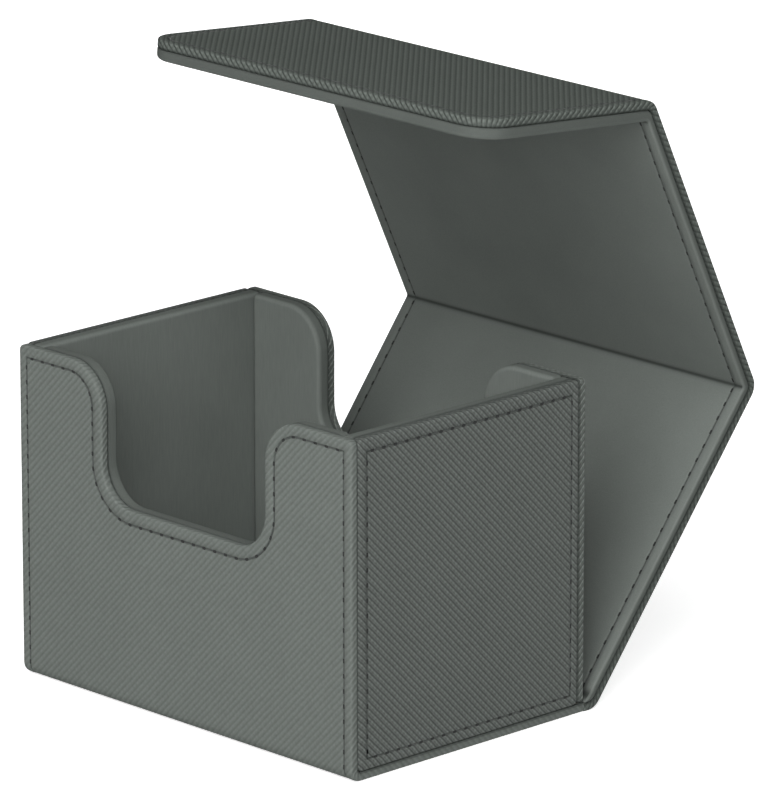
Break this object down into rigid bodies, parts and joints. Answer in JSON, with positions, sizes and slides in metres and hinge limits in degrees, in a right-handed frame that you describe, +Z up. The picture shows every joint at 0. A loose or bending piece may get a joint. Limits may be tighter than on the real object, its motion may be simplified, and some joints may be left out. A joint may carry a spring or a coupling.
{
  "type": "deck case",
  "caption": "Open-topped padded deck case with thumb notches and a magnetic wrap-round lid of hinged panels that fold up from the base over the rear, top and front.",
  "frame": {"origin": "centre of the case's flat base, on the surface that it stands on", "axes": "+X right along the notched front, +Y from the front to the rear where the lid is hinged, +Z up"},
  "size_m": [0.1066, 0.1222, 0.1382],
  "materials": {
    "ribbed_skin": "coated cloth with fine diagonal ribs, semi-matt",
    "lining_cloth": "smooth microfibre, matt",
    "stiffener_board": "plain grey board",
    "pad_board": "soft thick board",
    "magnet": "plated disc"
  },
  "bodies": {
    "case": {"wrap_skin": "ribbed_skin", "front_board": "stiffener_board", "base_board": "stiffener_board", "front_lining": "lining_cloth", "front_pad": "pad_board", "front_magnets": "magnet", "left_skin": "ribbed_skin", "left_board": "stiffener_board", "left_lining": "lining_cloth", "left_pad": "pad_board", "right_skin": "ribbed_skin", "right_board": "stiffener_board", "right_lining": "lining_cloth", "right_pad": "pad_board", "back_skin": "ribbed_skin", "back_board": "stiffener_board", "back_lining": "lining_cloth", "back_pad": "pad_board", "floor_lining": "lining_cloth", "floor_pad": "pad_board", "lower_crease_skin": "ribbed_skin", "lower_crease_lining": "lining_cloth"},
    "back_panel": {"back_panel_skin": "ribbed_skin", "back_panel_board": "stiffener_board", "back_panel_lining": "lining_cloth", "back_panel_pad": "pad_board", "rear_crease_skin": "ribbed_skin", "rear_crease_lining": "lining_cloth"},
    "top_panel": {"top_panel_skin": "ribbed_skin", "top_panel_board": "stiffener_board", "top_panel_lining": "lining_cloth", "top_panel_pad": "pad_board", "front_crease_skin": "ribbed_skin", "front_crease_lining": "lining_cloth"},
    "front_flap": {"front_flap_skin": "ribbed_skin", "front_flap_board": "stiffener_board", "front_flap_lining": "lining_cloth", "front_flap_pad": "pad_board", "flap_magnets": "magnet"}
  },
  "joints": [
    {"name": "back_panel_fold", "type": "hinge", "parent": "case", "child": "back_panel", "pos_m": [0, 0.0379, 0.001], "axis": [1, 0, 0], "range_deg": [-52, 38], "deforming": ["lower_crease_skin", "lower_crease_lining"]},
    {"name": "top_panel_fold", "type": "hinge", "parent": "back_panel", "child": "top_panel", "pos_m": [0, 0.08669, 0.06345], "axis": [1, 0, 0], "range_deg": [-63.25, 26.75], "deforming": ["rear_crease_skin", "rear_crease_lining"]},
    {"name": "front_flap_fold", "type": "hinge", "parent": "top_panel", "child": "front_flap", "pos_m": [0, 0.05393, 0.13291], "axis": [1, 0, 0], "range_deg": [-59.9, 30.1], "deforming": ["front_crease_skin", "front_crease_lining"]}
  ]
}
